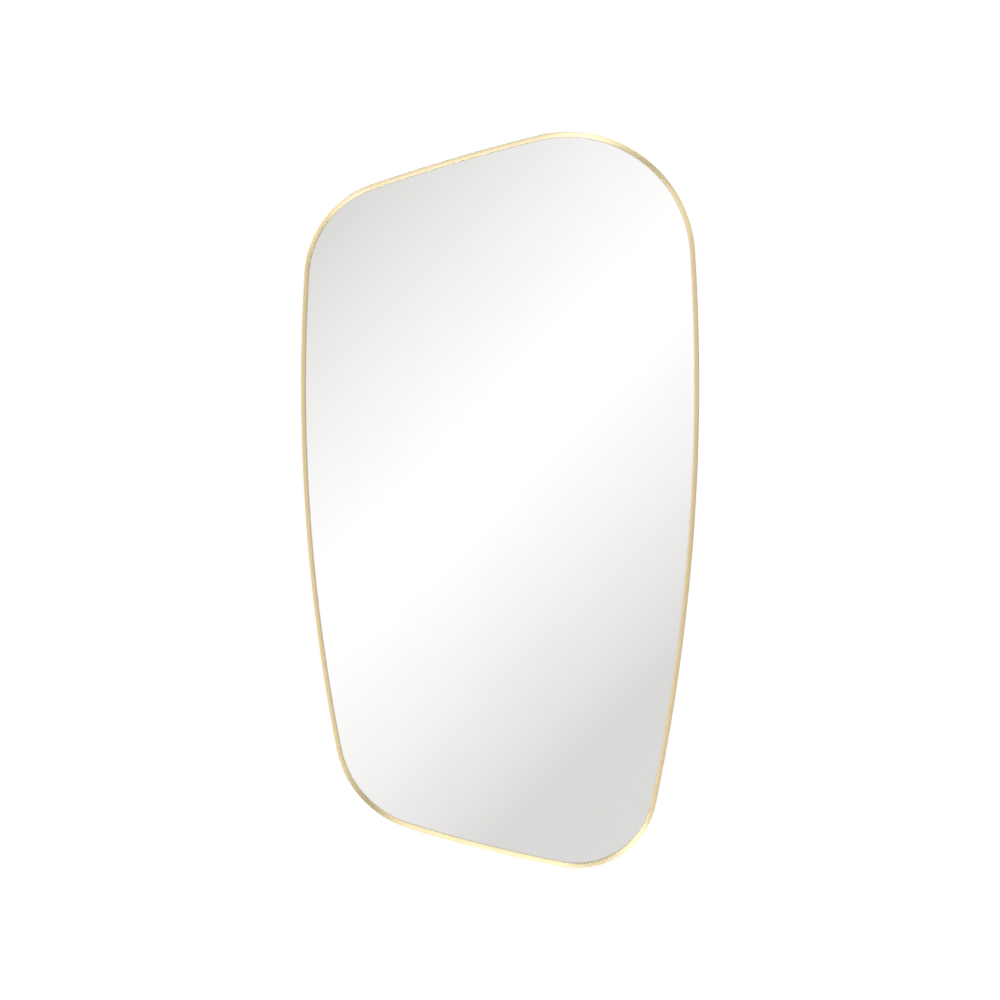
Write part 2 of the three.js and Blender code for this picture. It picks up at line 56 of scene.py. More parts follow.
def hexColour(code):  # sRGB hex to linear
    parts = [int(code[i:i + 2], 16) / 255 for i in (0, 2, 4)]
    return tuple(c / 12.92 if c <= 0.04045 else ((c + 0.055) / 1.055) ** 2.4 for c in parts) + (1.0,)


def addNode(tree, kind, settings=None, links=None):
    node = tree.nodes.new(kind)
    for key, value in (settings or {}).items():
        if isinstance(key, str) and hasattr(node, key):
            setattr(node, key, value)
        else:
            node.inputs[key].default_value = value
    for key, socket in (links or {}).items():
        tree.links.new(socket, node.inputs[key])
    return node


def fillRamp(node, stops, smooth=False):
    ramp = node.color_ramp
    if smooth:
        ramp.interpolation = "EASE"
    while len(ramp.elements) > 1:
        ramp.elements.remove(ramp.elements[-1])
    ramp.elements[0].position, ramp.elements[0].color = stops[0]
    for position, colour in stops[1:]:
        ramp.elements.new(position).color = colour
    return node.outputs["Color"]


def objectFrom(name, data):
    made = bpy.data.objects.new(name, data)
    bpy.context.scene.collection.objects.link(made)
    return made


def tidyMesh(mesh, sharpAngle=creaseAngle):
    work = bmesh.new()
    work.from_mesh(mesh)
    bmesh.ops.remove_doubles(work, verts=work.verts, dist=weldDistance)
    bmesh.ops.recalc_face_normals(work, faces=work.faces)
    work.to_mesh(mesh)
    work.free()
    mesh.polygons.foreach_set("use_smooth", [True] * len(mesh.polygons))
    mesh.set_sharp_from_angle(angle=math.radians(sharpAngle))


def ringMesh(name, rings, sharpAngle=creaseAngle):  # closed body through rings that hold equally many points
    count = len(rings[0])
    points = [Vector(p) * mm for ring in rings for p in ring]
    faces = []
    for i in range(len(rings) - 1):
        for k in range(count):
            a, b = i * count + k, i * count + (k + 1) % count
            faces.append((a, b, b + count, a + count))
    faces.append(tuple(reversed(range(count))))
    faces.append(tuple(range(len(points) - count, len(points))))
    mesh = bpy.data.meshes.new(name)
    mesh.from_pydata(points, [], faces)
    tidyMesh(mesh, sharpAngle)
    return objectFrom(name, mesh)


def turnedRings(profile, count, radiusAt=None):  # rings about +Y from [radius, y, kind]
    rings = []
    for radius, y, *kind in profile:
        ring = []
        for k in range(count):
            angle = math.tau * k / count
            r = radiusAt(angle, radius, y, kind[0]) if kind else radius
            ring.append((r * math.cos(angle), y, r * math.sin(angle)))
        rings.append(ring)
    return rings


def putOn(piece, body, materials, nodes):
    piece.data.materials.clear()
    for material in materials:
        piece.data.materials.append(material)
    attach(piece, body)
    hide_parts(*nodes)


# Outline: a four-sided figure with bowed sides and round corners
outline = {
    "corners": {
        "bottomRight": (188.0, -515.5, 109.0),  # x, z and radius
        "topRight": (245.0, 535.0, 173.0),
        "topLeft": (-259.0, 398.0, 135.5),
        "bottomLeft": (-205.0, -419.0, 142.5),
    },
    "bows": {"bottom": 10.5, "right": 50.0, "top": 13.0, "left": 33.0},  # beyond the line between two corners
    "ends": {
        "bottom": ("bottomLeft", "bottomRight"),
        "right": ("bottomRight", "topRight"),
        "top": ("topRight", "topLeft"),
        "left": ("topLeft", "bottomLeft"),
    },
    "step": 4.0,  # between two points of the fine outline
}


def sideCircle(side):
    before, after = outline["ends"][side]
    start = Vector(outline["corners"][before][:2])
    end = Vector(outline["corners"][after][:2])
    bow = outline["bows"][side]
    chord = end - start
    radius = (chord.length_squared / 4 + bow * bow) / (2 * bow)
    outward = Vector((chord.y, -chord.x)).normalized()
    return (start + end) / 2 + outward * (bow - radius), radius


def cornerCircle(corner, before, after):  # inside both side circles, and touching them
    x, z, radius = outline["corners"][corner]
    (centreA, radiusA), (centreB, radiusB) = sideCircle(before), sideCircle(after)
    reachA, reachB = radiusA - radius, radiusB - radius
    between = centreB - centreA
    along = (between.length_squared + reachA ** 2 - reachB ** 2) / (2 * between.length)
    across = math.sqrt(reachA ** 2 - along ** 2)
    unit = between.normalized()
    foot = centreA + unit * along
    sideways = Vector((-unit.y, unit.x)) * across
    return min((foot + sideways, foot - sideways), key=lambda p: (p - Vector((x, z))).length), radius


def angleTo(fromPoint, toPoint):
    return math.atan2(toPoint.y - fromPoint.y, toPoint.x - fromPoint.x)


def outlineArcs():
    sides = ["bottom", "right", "top", "left"]
    circles = {side: sideCircle(side) for side in sides}
    rounds = {}
    for i, side in enumerate(sides):
        corner = outline["ends"][side][1]
        rounds[corner] = cornerCircle(corner, side, sides[(i + 1) % 4])
    made = {}
    for i, side in enumerate(sides):
        before, after = outline["ends"][side]
        following = circles[sides[(i + 1) % 4]]
        start = angleTo(circles[side][0], rounds[before][0])
        turn = angleTo(circles[side][0], rounds[after][0])
        end = angleTo(following[0], rounds[after][0])
        made[side] = (*circles[side], start, (turn - start) % math.tau)
        made[after] = (*rounds[after], turn, (end - turn) % math.tau)
    return made


arcs = outlineArcs()
roundTrip = ["bottomRight", "right", "topRight", "top", "topLeft", "left", "bottomLeft"]


def arcLength(name):
    return arcs[name][1] * arcs[name][3]


def stationAt(name, distance):  # a point of the outline, and the way outwards there
    centre, radius, start, _ = arcs[name]
    angle = start + distance / radius
    outward = Vector((math.cos(angle), math.sin(angle)))
    return centre + outward * radius, outward


def stationsAlong(name, begin, end):
    count = max(2, math.ceil((end - begin) / outline["step"]))
    return [stationAt(name, begin + (end - begin) * i / count) for i in range(count + 1)]


def wholeOutline(gap):  # once round from the middle of the bottom side, where a gap may be left
    middle = arcLength("bottom") / 2
    stations = stationsAlong("bottom", middle + gap / 2, arcLength("bottom"))
    for name in roundTrip:
        stations += stationsAlong(name, 0, arcLength(name))[1:]
    stations += stationsAlong("bottom", 0, middle - gap / 2)[1:]
    return stations if gap else stations[:-1]


def placeOnFrame(name, share, inset, y):  # a point behind the frame, and the turn that takes +X inwards there
    point, outward = stationAt(name, arcLength(name) * share)
    point = point - outward * inset
    return Vector((point.x, y, point.y)), Matrix.Rotation(math.atan2(outward.y, -outward.x), 3, "Y")


def filleted(points, steps=4):  # corners are [x, y, radius], a radius of 0 stays sharp
    made = []
    for i, (x, y, radius) in enumerate(points):
        here = Vector((x, y))
        back = (Vector(points[i - 1][:2]) - here).normalized()
        ahead = (Vector(points[(i + 1) % len(points)][:2]) - here).normalized()
        if radius <= 0:
            made.append(here)
            continue
        half = back.angle(ahead) / 2
        centre = here + (back + ahead).normalized() * radius / math.sin(half)
        first, last = here + back * radius / math.tan(half), here + ahead * radius / math.tan(half)
        startAngle = angleTo(centre, first)
        turn = (angleTo(centre, last) - startAngle + math.pi) % math.tau - math.pi
        for k in range(steps + 1):
            angle = startAngle + turn * k / steps
            made.append(centre + Vector((math.cos(angle), math.sin(angle))) * radius)
    return made


def barSection(near, far, front, rear, soft):  # an oblong with round corners
    return filleted([(near, rear, soft), (near, front, soft), (far, front, soft), (far, rear, soft)])


def levels(node):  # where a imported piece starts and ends, counted from the wall
    return [corner.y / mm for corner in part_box(node)]


def middleOf(node):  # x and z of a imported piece's middle
    low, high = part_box(node)
    return (low.x + high.x) / 2 / mm, (low.z + high.z) / 2 / mm


# Geometry Nodes

def newTree(name, inputs):
    tree = bpy.data.node_groups.new(name, "GeometryNodeTree")
    for label, kind in [("Geometry", "Geometry"), *inputs]:
        tree.interface.new_socket(label, in_out="INPUT", socket_type="NodeSocket" + kind)
    tree.interface.new_socket("Geometry", in_out="OUTPUT", socket_type="NodeSocketGeometry")
    return tree, addNode(tree, "NodeGroupInput").outputs


def endTree(tree, geometry, material):
    solid = addNode(tree, "GeometryNodeRealizeInstances", links={"Geometry": geometry})
    painted = addNode(tree, "GeometryNodeSetMaterial",
                      links={"Geometry": solid.outputs[0], "Material": material})
    addNode(tree, "NodeGroupOutput", links={"Geometry": painted.outputs[0]})
    return tree


def sectionAlongPath():  # carries a section along a flat path, and lays a map on it in metres
    tree, source = newTree("sectionAlongPath", [("section", "Object"), ("material", "Material")])
    section = addNode(tree, "GeometryNodeObjectInfo", links={"Object": source["section"]})
    length = addNode(tree, "GeometryNodeSplineParameter").outputs["Length"]
    path = addNode(tree, "GeometryNodeStoreNamedAttribute", {"Name": "alongPath"},
                   {"Geometry": source["Geometry"], "Value": length})
    upright = addNode(tree, "GeometryNodeSetCurveNormal", {"mode": "Z_UP"}, {"Curve": path.outputs[0]})
    ring = addNode(tree, "GeometryNodeStoreNamedAttribute", {"Name": "acrossSection"},
                   {"Geometry": section.outputs["Geometry"], "Value": length})
    swept = addNode(tree, "GeometryNodeCurveToMesh", {"Fill Caps": True},
                    {"Curve": upright.outputs[0], "Profile Curve": ring.outputs[0]})
    along = addNode(tree, "GeometryNodeInputNamedAttribute", {"Name": "alongPath"}).outputs[0]
    across = addNode(tree, "GeometryNodeInputNamedAttribute", {"Name": "acrossSection"}).outputs[0]
    pair = addNode(tree, "ShaderNodeCombineXYZ", links={"X": along, "Y": across}).outputs[0]
    mapped = addNode(tree, "GeometryNodeStoreNamedAttribute",
                     {"data_type": "FLOAT2", "domain": "CORNER", "Name": "UVMap"},
                     {"Geometry": swept.outputs[0], "Value": pair})
    stood = addNode(tree, "GeometryNodeTransform", {"Rotation": (math.pi / 2, 0, 0)},
                    {"Geometry": mapped.outputs[0]})
    return endTree(tree, stood.outputs[0], source["material"])


def copiesAtPlaces():  # puts one pattern at every point, turned as the point says
    tree, source = newTree("copiesAtPlaces", [("pattern", "Object"), ("material", "Material")])
    pattern = addNode(tree, "GeometryNodeObjectInfo", links={"Object": source["pattern"]})
    turn = addNode(tree, "GeometryNodeInputNamedAttribute", {"data_type": "FLOAT_VECTOR", "Name": "turn"})
    copies = addNode(tree, "GeometryNodeInstanceOnPoints", links={
        "Points": source["Geometry"], "Instance": pattern.outputs["Geometry"], "Rotation": turn.outputs[0]})
    return endTree(tree, copies.outputs[0], source["material"])


sweeps = sectionAlongPath()
copies = copiesAtPlaces()


def runTree(tree, host, name, inputs, sharpAngle=creaseAngle):
    modifier = host.modifiers.new("nodes", "NODES")
    modifier.node_group = tree
    for item in tree.interface.items_tree:
        if item.item_type == "SOCKET" and item.in_out == "INPUT" and item.name in inputs:
            modifier[item.identifier] = inputs[item.name]
    mesh = bpy.data.meshes.new_from_object(host.evaluated_get(bpy.context.evaluated_depsgraph_get()))
    mesh.name = name
    tidyMesh(mesh, sharpAngle)
    for spent in [host, *(value for value in inputs.values() if isinstance(value, bpy.types.Object))]:
        bpy.data.objects.remove(spent)
    return objectFrom(name, mesh)


def polyCurve(name, points, cyclic):
    curve = bpy.data.curves.new(name, "CURVE")
    curve.dimensions = "3D"
    spline = curve.splines.new("POLY")
    spline.points.add(len(points) - 1)
    for target, (x, y) in zip(spline.points, points):
        target.co = (x * mm, y * mm, 0, 1)
    spline.use_cyclic_u = cyclic
    return objectFrom(name, curve)


def sweptPiece(name, path, cyclic, section, material, sharpAngle=creaseAngle):
    host = polyCurve(name + "Path", path, cyclic)
    profile = polyCurve(name + "Section", [(-inset, y) for inset, y in section], True)  # inwards is -X
    return runTree(sweeps, host, name, {"section": profile, "material": material}, sharpAngle)


def copiedPiece(name, pattern, places, material, sharpAngle=creaseAngle):  # places are [point, rotation]
    mesh = bpy.data.meshes.new(name + "Places")
    mesh.from_pydata([point * mm for point, _ in places], [], [])
    turns = mesh.attributes.new("turn", "FLOAT_VECTOR", "POINT")
    turns.data.foreach_set("vector", [angle for _, turn in places for angle in turn.to_euler()])
    host = objectFrom(name + "Places", mesh)
    return runTree(copies, host, name, {"pattern": pattern, "material": material}, sharpAngle)


def joined(name, pieces):
    mesh = bpy.data.meshes.new(name)
    work = bmesh.new()
    for piece in pieces:
        work.from_mesh(piece.data)
    work.to_mesh(mesh)
    work.free()
    for piece in pieces:
        bpy.data.objects.remove(piece)
    mesh.set_sharp_from_angle(angle=math.radians(creaseAngle))
    return objectFrom(name, mesh)


print("outline and node trees ready")


# Materials

noiseSpan = (0.3, 0.7)  # most of a noise's values lie between these


def newMaterial(name, plain):
    material = bpy.data.materials.new(name)
    material.use_nodes = True
    tree = material.node_tree
    tree.nodes.clear()
    shader = addNode(tree, "ShaderNodeBsdfPrincipled", plain)
    addNode(tree, "ShaderNodeOutputMaterial", links={"Surface": shader.outputs[0]})
    return material, tree, shader


def finish(tree, shader, place, pattern):  # one noise drives colour, roughness and bump of a finish
    noise = addNode(tree, "ShaderNodeTexNoise", {"Scale": 1.0, "Detail": pattern.get("detail", 3.0)},
                    {"Vector": place}).outputs[0]
    begin, end = noiseSpan
    stops = [(begin, hexColour(pattern["shade"])), (end, hexColour(pattern["colour"]))]
    tree.links.new(fillRamp(addNode(tree, "ShaderNodeValToRGB", links={"Fac": noise}), stops),
                   shader.inputs["Base Color"])
    low, high = pattern["roughness"]
    rough = addNode(tree, "ShaderNodeMapRange", {
        "From Min": begin, "From Max": end, "To Min": low, "To Max": high}, {"Value": noise}).outputs[0]
    tree.links.new(rough, shader.inputs["Roughness"])
    bump = addNode(tree, "ShaderNodeBump", {"Strength": pattern["bump"], "Distance": pattern["depth"] * mm},
                   {"Height": noise}).outputs[0]
    tree.links.new(bump, shader.inputs["Normal"])


def grained(name, values, size, pattern):  # a material whose noise cells measure size millimetres
    material, tree, shader = newMaterial(name, values)
    place = addNode(tree, "ShaderNodeTexCoord").outputs["Object"]
    grain = addNode(tree, "ShaderNodeMapping", {"Scale": tuple(1 / (s * mm) for s in size)},
                    {"Vector": place}).outputs[0]
    finish(tree, shader, grain, pattern)
    return material


def brushedGoldAnodised():  # brushed along the hoop, so each light is drawn out across the strip
    gold = {"colour": "f8e4ae", "shade": "efd8a0", "roughness": (0.38, 0.46), "bump": 0.12, "depth": 0.02}
    brushLine = {"length": 60.0, "width": 0.35}  # real ones are ten times finer, too fine to show
    material, tree, shader = newMaterial("brushedGoldAnodisedAluminium", {
        "Metallic": 1.0, "Anisotropic": 1.0, "Anisotropic Rotation": 0.25})
    place = addNode(tree, "ShaderNodeUVMap", {"uv_map": "UVMap"}).outputs[0]
    scale = (1 / (brushLine["length"] * mm), 1 / (brushLine["width"] * mm), 1)
    lines = addNode(tree, "ShaderNodeMapping", {"Scale": scale}, {"Vector": place}).outputs[0]
    finish(tree, shader, lines, gold)
    along = addNode(tree, "ShaderNodeTangent", {"direction_type": "UV_MAP", "uv_map": "UVMap"}).outputs[0]
    tree.links.new(along, shader.inputs["Tangent"])
    return material


def clearFloatGlass():  # low iron glass, polished, colourless from the front
    glass = {"colour": "ffffff", "shade": "feffff", "roughness": (0.0, 0.002), "bump": 0.0, "depth": 0.01}
    return grained("clearFloatGlass", {"IOR": 1.52, "Transmission Weight": 1.0}, (300, 300, 300), glass)


def silverCoating():  # wet silvering on the back of the glass, neutral and very even
    silver = {"colour": "fcfbfa", "shade": "faf9f8", "roughness": (0.0, 0.004), "bump": 0.0, "depth": 0.01}
    return grained("silverCoating", {"Metallic": 1.0}, (200, 200, 200), silver)


def wovenSafetyFilm():  # grey polypropylene film over a fine scrim, slightly waxy
    film = {"colour": "9a9fa3", "shade": "82878c", "roughness": (0.42, 0.55), "bump": 0.3, "depth": 0.05}
    return grained("wovenSafetyFilm", {}, (3, 3, 1.2), film)


def polyethyleneFoam(name, paintedGlow):  # white closed cells of about half a millimetre, dull all over
    foam = {"colour": "e6e5df", "shade": "d2d1ca", "roughness": (0.85, 0.95), "bump": 0.5, "depth": 0.15}
    # emission here is a painted glow: light put into the foam, though it is no lamp
    paintedLight = {"Emission Color": hexColour(foam["colour"]), "Emission Strength": paintedGlow}
    material = grained(name, paintedLight, (0.5, 0.5, 0.5), foam)
    material.cycles.emission_sampling = "NONE"
    return material


def mouldedRubber():  # black rubber, matt with a faint bloom
    rubber = {"colour": "3c3c3e", "shade": "2e2e30", "roughness": (0.62, 0.78), "bump": 0.2, "depth": 0.05}
    return grained("mouldedRubber", {}, (0.9, 0.9, 0.9), rubber)


def paintedFibreboard():  # fibreboard rolled with thin dark paint, its fibres still felt as a fine stipple
    board = {"colour": "34322f", "shade": "242321", "roughness": (0.66, 0.84), "bump": 0.35, "depth": 0.12,
             "detail": 6.0}
    return grained("paintedFibreboard", {}, (2.2, 2.2, 1.4), board)


def zincPlatedSteel():  # cold rolled sheet or wire with bright zinc, faintly bluish with soft clouds
    zinc = {"colour": "d3d4d4", "shade": "c1c3c4", "roughness": (0.26, 0.36), "bump": 0.1, "depth": 0.03}
    return grained("zincPlatedSteel", {"Metallic": 1.0}, (5, 5, 2.5), zinc)


def blackenedSteel():  # hardened and oiled, almost black with a soft sheen
    black = {"colour": "3a3b3e", "shade": "242528", "roughness": (0.36, 0.5), "bump": 0.1, "depth": 0.03}
    return grained("blackenedSteel", {"Metallic": 1.0}, (0.8, 0.8, 0.8), black)


def millAluminium():  # as it leaves the press, pale with faint draw lines along the plate
    mill = {"colour": "cccfd1", "shade": "b4b7ba", "roughness": (0.32, 0.46), "bump": 0.15, "depth": 0.03}
    return grained("millAluminium", {"Metallic": 1.0}, (40, 0.5, 0.5), mill)


goldAluminium = brushedGoldAnodised()
floatGlass = clearFloatGlass()
silvering = silverCoating()
safetyFilm = wovenSafetyFilm()
tapeFoam = polyethyleneFoam("glazingTapeFoam", 0.6)  # a painted glow, standing in for the light that comes to it through the glass
stripFoam = polyethyleneFoam("bondingStripFoam", 0.0)
blackRubber = mouldedRubber()
fibreboard = paintedFibreboard()
zincSteel = zincPlatedSteel()
blackSteel = blackenedSteel()
plainAluminium = millAluminium()
print("materials ready")

# Frame hoop: one length of extrusion, bent round and butted at the middle of its bottom side
hoop = {
    "face": 6.0,  # the lip that shows round the glass
    "lip": 1.6,  # its thickness
    "wall": 1.5,
    "edge": 0.6,  # radius of the lip's front edges
    "flange": 1.3,
    "channel": 8.2,  # depth between its flanges
    "reach": 9.0,  # of the flanges, from the outer face inwards
    "returnLip": 1.3,
    "returnLength": 1.7,
    "joint": 0.12,
    "soft": 0.3,  # die radius of every other outer corner
    "inside": 0.2,  # and of the inner corners
}
frontY, rimY = levels("frame_hoop")
channelRear = rimY - hoop["flange"]
channelFront = channelRear - hoop["channel"]


def hoopSection():
    lipRear = frontY + hoop["lip"]
    pocketRear = channelFront - hoop["flange"]
    inner = hoop["reach"] - hoop["returnLip"]
    soft, inside = hoop["soft"], hoop["inside"]
    return filleted([
        (hoop["wall"], channelFront, inside),
        (hoop["wall"], channelRear, inside),
        (inner, channelRear, inside),
        (inner, channelRear - hoop["returnLength"], inside),
        (hoop["reach"], channelRear - hoop["returnLength"], soft),
        (hoop["reach"], rimY, soft),
        (0, rimY, soft),
        (0, frontY, hoop["edge"]),
        (hoop["face"], frontY, hoop["edge"]),
        (hoop["face"], lipRear, soft),
        (hoop["wall"], lipRear, inside),
        (hoop["wall"], pocketRear, inside),
        (hoop["reach"], pocketRear, soft),
        (hoop["reach"], channelFront + hoop["returnLength"], soft),
        (inner, channelFront + hoop["returnLength"], inside),
        (inner, channelFront, inside),
    ])


hoopPath = [point for point, _ in wholeOutline(hoop["joint"])]
frameHoop = sweptPiece("frameHoop", hoopPath, False, hoopSection(), goldAluminium)
putOn(frameHoop, "root", [goldAluminium], ["frame_hoop"])
print("frame hoop", len(frameHoop.data.polygons), "faces")

# Glazing tape between the lip and the glass, squeezed so that its sides bulge a little
tape = {"inset": 3.5, "width": 2.2, "round": 0.35}
tapeSection = barSection(tape["inset"], tape["inset"] + tape["width"], *levels("glazing_tape"), tape["round"])
tapePath = [point for point, _ in wholeOutline(0)]
glazingTape = sweptPiece("glazingTape", tapePath, True, tapeSection, tapeFoam)
putOn(glazingTape, "root", [tapeFoam], ["glazing_tape"])

# Mirror glass: a float glass pane with ground edges, silvered on its rear face, and the safety film behind it
pane = {"inset": 3.1, "arris": 0.5, "filmArris": 0.1}


def paneRings(front, rear, arris):
    rings = []
    for inset, y in ((arris, front), (0, front + arris), (0, rear - arris), (arris, rear)):
        stations = [point - outward * (pane["inset"] + inset) for point, outward in wholeOutline(0)]
        rings.append([(p.x, y, p.y) for p in stations])
    return rings


mirrorGlass = ringMesh("mirrorGlass", paneRings(*levels("mirror_glass"), pane["arris"]))
putOn(mirrorGlass, "root", [floatGlass, silvering], ["mirror_glass"])
for face in mirrorGlass.data.polygons:
    if face.normal.y > 0.9:  # the rear face
        face.material_index = 1

filmPiece = ringMesh("safetyFilm", paneRings(*levels("safety_film"), pane["filmArris"]))
putOn(filmPiece, "root", [safetyFilm], ["safety_film"])
print("tape, glass and film ready")

# Foam strips that bond the board to the film
foam = {"width": 40.0, "columns": {"left": -125.0, "centre": 0.0, "right": 125.0}, "round": 0.6, "steps": 12}
foamSection = barSection(-foam["width"] / 2, foam["width"] / 2, *levels("bonding_foam_centre"), foam["round"])
foamLow, foamHigh = (corner.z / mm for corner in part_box("bonding_foam_centre"))
foamHeights = [foamLow + (foamHigh - foamLow) * i / foam["steps"] for i in range(foam["steps"] + 1)]
strips = []
for name, x in foam["columns"].items():
    path = [Vector((x, z)) for z in foamHeights]
    strips.append(sweptPiece("strip" + name, path, False, foamSection, stripFoam))
bondingFoam = joined("bondingFoam", strips)
putOn(bondingFoam, "root", [stripFoam], ["bonding_foam_" + name for name in foam["columns"]])

# Setting blocks that carry the glass on the frame's wall
block = {"length": 26.0, "near": 1.8, "far": 2.8, "round": 0.3}
blockSection = barSection(block["near"], block["far"], *levels("setting_block_left"), block["round"])
lowest = (-math.pi / 2 - arcs["bottomRight"][2]) % math.tau * arcs["bottomRight"][1]
blockMiddles = {
    "left": ("bottomLeft", arcLength("bottomLeft") - block["length"] / 2),  # up to the bottom side
    "right": ("bottomRight", lowest),
}
blocks = []
for name, (arc, middle) in blockMiddles.items():
    half = block["length"] / 2
    path = [point for point, _ in stationsAlong(arc, middle - half, middle + half)]
    blocks.append(sweptPiece("block" + name, path, False, blockSection, blackRubber))
settingBlocks = joined("settingBlocks", blocks)
putOn(settingBlocks, "root", [blackRubber], ["setting_block_" + name for name in blockMiddles])
print("foam and blocks ready")

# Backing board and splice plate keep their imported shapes
for nodeName, material in (("backing_board", fibreboard), ("splice_plate", plainAluminium)):
    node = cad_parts[nodeName]
    node.data.materials.clear()
    node.data.materials.append(material)
boardRear = levels("backing_board")[1]


# Wood screws: pan head, cross recess and a coarse thread
woodScrew = {
    "head": 3.5,  # radius
    "headHeight": 2.2,
    "headEdge": 0.15,
    "brim": 0.4,  # share of the head's height below its dome
    "crown": 2.1,  # radius round which the dome bends over
    "domeTurn": 0.86,  # how far it bends, as a share of a quarter turn
    "domeSteps": 6,
    "collar": [(1.3, -0.4), (1.5, 0)],  # radius and level where the shank widens under the head
    "thread": 1.75,
    "core": 1.2,
    "pitch": 1.3,
    "ridge": 0.28,  # half the thread's foot, as a share of the pitch
    "rowsPerTurn": 8,
    "point": 2.4,  # length that tapers
    "tip": 0.3,  # without thread at the point, and at the neck under the head
    "neck": 0.6,
    "crossArm": 1.45,
    "crossHalfWidth": 0.34,
    "recess": [(1.0, 0.02), (0.94, 0.15), (0.5, 1.3)],  # share of the whole cross, and depth
    "recessDepth": 1.5,
    "sides": 48,
    "firstTurn": 0.35,  # radians, so that no two crosses stand alike
    "nextTurn": 2.4,
}


def threadRidge(screw, angle, y):  # 1 on the thread's crest, 0 on the core
    turns = (y / screw["pitch"] + angle / math.tau) % 1.0
    return max(0.0, 1 - abs(turns - 0.5) / screw["ridge"])


def screwRadius(angle, radius, y, kind):
    if kind == "cross":  # plus-shaped recess
        off = abs((angle + math.pi / 4) % (math.pi / 2) - math.pi / 4)
        arm = woodScrew["crossArm"] / math.cos(off)
        flank = woodScrew["crossHalfWidth"] / max(math.sin(off), 1e-6)
        return min(arm, flank) * radius
    core = woodScrew["core"]
    return radius + (woodScrew["thread"] - core) * threadRidge(woodScrew, angle, y) * radius / core


def woodScrewPattern(name, length):
    head, height, edge = woodScrew["head"], woodScrew["headHeight"], woodScrew["headEdge"]
    brim, crown = woodScrew["brim"], woodScrew["crown"]
    start, end = woodScrew["tip"] - length, -woodScrew["neck"]
    count = math.ceil((length - woodScrew["neck"]) / woodScrew["pitch"] * woodScrew["rowsPerTurn"])
    rows = [(leastReach, -length)]
    for i in range(count + 1):
        y = start + (end - start) * i / count
        rows.append((woodScrew["core"] * min(1.0, (y + length) / woodScrew["point"]), y, "thread"))
    rows += [*woodScrew["collar"], (head - edge, 0), (head, edge), (head, height * brim)]
    for i in range(1, woodScrew["domeSteps"] + 1):
        bend = math.pi / 2 * i / woodScrew["domeSteps"] * woodScrew["domeTurn"]
        rows.append((crown + (head - crown) * math.cos(bend), height * (brim + (1 - brim) * math.sin(bend))))
    rows += [(share, height - depth, "cross") for share, depth in woodScrew["recess"]]
    rows.append((leastReach, height - woodScrew["recessDepth"]))
    return ringMesh(name, turnedRings(rows, woodScrew["sides"], screwRadius))


def screwPlaces(nodes):
    places = []
    for i, nodeName in enumerate(nodes):
        x, z = middleOf(nodeName)
        seat = levels(nodeName)[1] - woodScrew["headHeight"]
        turn = Matrix.Rotation(woodScrew["firstTurn"] + i * woodScrew["nextTurn"], 3, "Y")
        places.append((Vector((x, seat, z)), turn))
    return places


def woodScrews(name, nodes):
    front, rear = levels(nodes[0])
    pattern = woodScrewPattern(name + "Pattern", rear - front - woodScrew["headHeight"])
    screws = copiedPiece(name, pattern, screwPlaces(nodes), zincSteel)
    putOn(screws, "root", [zincSteel], nodes)


# Hold-down clips: sheet steel hooked in the channel's mouth and bent down onto the board
clip = {
    "sheet": 1.2,
    "halfWidth": 10.0,
    "hook": 6.8,  # inset of the middle of the sheet in the hook, and in the joggle
    "joggle": 11.2,
    "armEnd": 27.6,
    "corner": 4.0,
    "cornerSteps": 8,
    "bend": 1.1,  # at the middle of the sheet
    "bendSteps": 6,
    "edge": 0.22,
    "places": {  # side of the frame, and share of its length
        "right_lower": ("right", 0.14), "right_upper": ("right", 0.86),
        "top_right": ("top", 0.2), "top_left": ("top", 0.8),
        "left_upper": ("left", 0.14), "left_lower": ("left", 0.86),
        "bottom_left": ("bottom", 0.08), "bottom_right": ("bottom", 0.92),
    },
}
sheetCrease = 40  # degrees, in place of the usual angle


def bentSheet(name, path, widthAt, thickness, edge):  # a strip that follows a path in XY, its width along Z
    rings = []
    half, bevel = thickness / 2, edge * 0.3
    for i, here in enumerate(path):
        before, after = path[max(i - 1, 0)], path[min(i + 1, len(path) - 1)]
        along = (after - before).normalized()
        normal = Vector((-along.y, along.x))
        reach = max(widthAt(here), edge + leastReach)
        corners = [(half, reach - edge), (half - bevel, reach - bevel), (half - edge, reach),
                   (edge - half, reach), (bevel - half, reach - bevel), (-half, reach - edge)]
        loop = corners + [(a, -b) for a, b in reversed(corners)]
        rings.append([(here.x + normal.x * a, here.y + normal.y * a, b) for a, b in loop])
    return ringMesh(name, rings, sheetCrease)


def clipPattern():  # X inwards from the frame's outer face, Y from the wall's plane, Z along the frame
    armMiddle = boardRear + drawnGap + clip["sheet"] / 2
    neck = channelRear - hoop["returnLength"] - drawnGap - clip["sheet"] / 2
    corner, steps = clip["corner"], clip["cornerSteps"]
    path = filleted([
        (clip["hook"], channelRear - drawnGap, 0),
        (clip["hook"], neck, clip["bend"]),
        (clip["joggle"], neck, clip["bend"]),
        (clip["joggle"], armMiddle, clip["bend"]),
        (clip["armEnd"] - corner, armMiddle, 0),
    ], clip["bendSteps"])
    for i in range(1, steps + 1):
        path.append(Vector((clip["armEnd"] - corner * (1 - math.sin(math.pi / (2 * steps) * i)), armMiddle)))

    def widthAt(point):
        beyond = max(0.0, point.x - clip["armEnd"] + corner)
        return clip["halfWidth"] - corner + math.sqrt(max(0.0, corner ** 2 - beyond ** 2))

    return bentSheet("clipPattern", path, widthAt, clip["sheet"], clip["edge"])


clipPlaces = [placeOnFrame(arc, share, 0, 0) for arc, share in clip["places"].values()]
holdDownClips = copiedPiece("holdDownClips", clipPattern(), clipPlaces, zincSteel, sheetCrease)
putOn(holdDownClips, "root", [zincSteel], ["hold_down_clip_" + name for name in clip["places"]])
woodScrews("clipScrews", ["clip_screw_" + name for name in clip["places"]])
print("clips and their screws ready")

